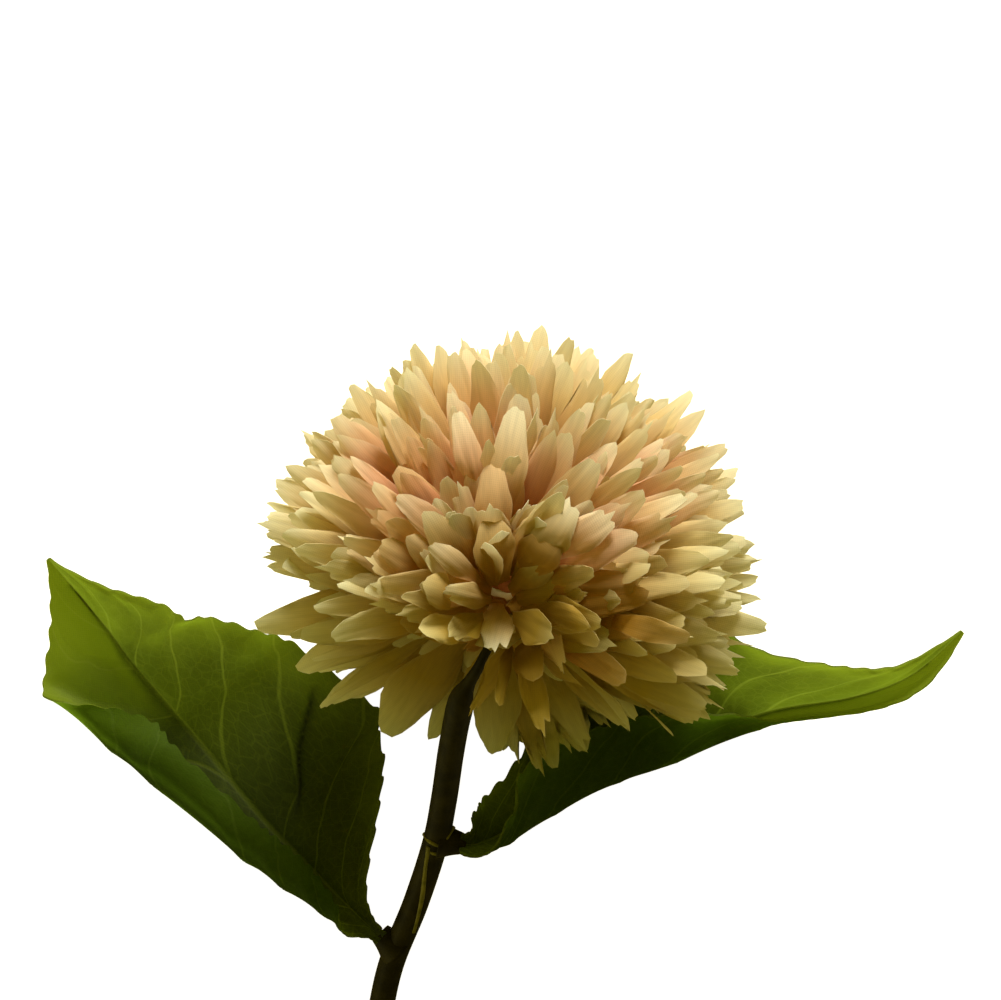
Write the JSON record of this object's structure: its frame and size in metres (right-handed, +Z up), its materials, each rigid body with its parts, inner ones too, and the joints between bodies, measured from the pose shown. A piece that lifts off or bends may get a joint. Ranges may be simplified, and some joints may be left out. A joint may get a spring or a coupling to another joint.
{
  "type": "pompon chrysanthemum",
  "caption": "Cut pompon chrysanthemum of cloth petals on a bent plastic stem with a leaf on each side, lying at rest on a table.",
  "frame": {"origin": "the flat spot on the table, at the lowest point under the middle of the bloom", "axes": "+Z up from the table; +Y away from the stem's cut end, towards the top of the bloom; +X to the right seen from above"},
  "size_m": [0.1908, 0.2513, 0.0936],
  "materials": {
    "petal_cloth": "plain woven cloth, cream tips over peach and pink bases, matt",
    "leaf_cloth": "stiffened woven cloth, printed green with paler veins, satin",
    "stem_plastic": "moulded plastic, dark olive, satin",
    "rib_plastic": "moulded plastic, yellow green, satin",
    "calyx_plastic": "moulded plastic, green, satin",
    "wire_steel": "drawn steel wire, cut end"
  },
  "bodies": {
    "root": {"bloom": "petal_cloth", "calyx": "calyx_plastic", "stem": "stem_plastic", "stem_wire": "wire_steel", "leaf_left": "leaf_cloth", "leaf_left_rib": "rib_plastic", "leaf_right": "leaf_cloth", "leaf_right_rib": "rib_plastic"}
  },
  "joints": []
}
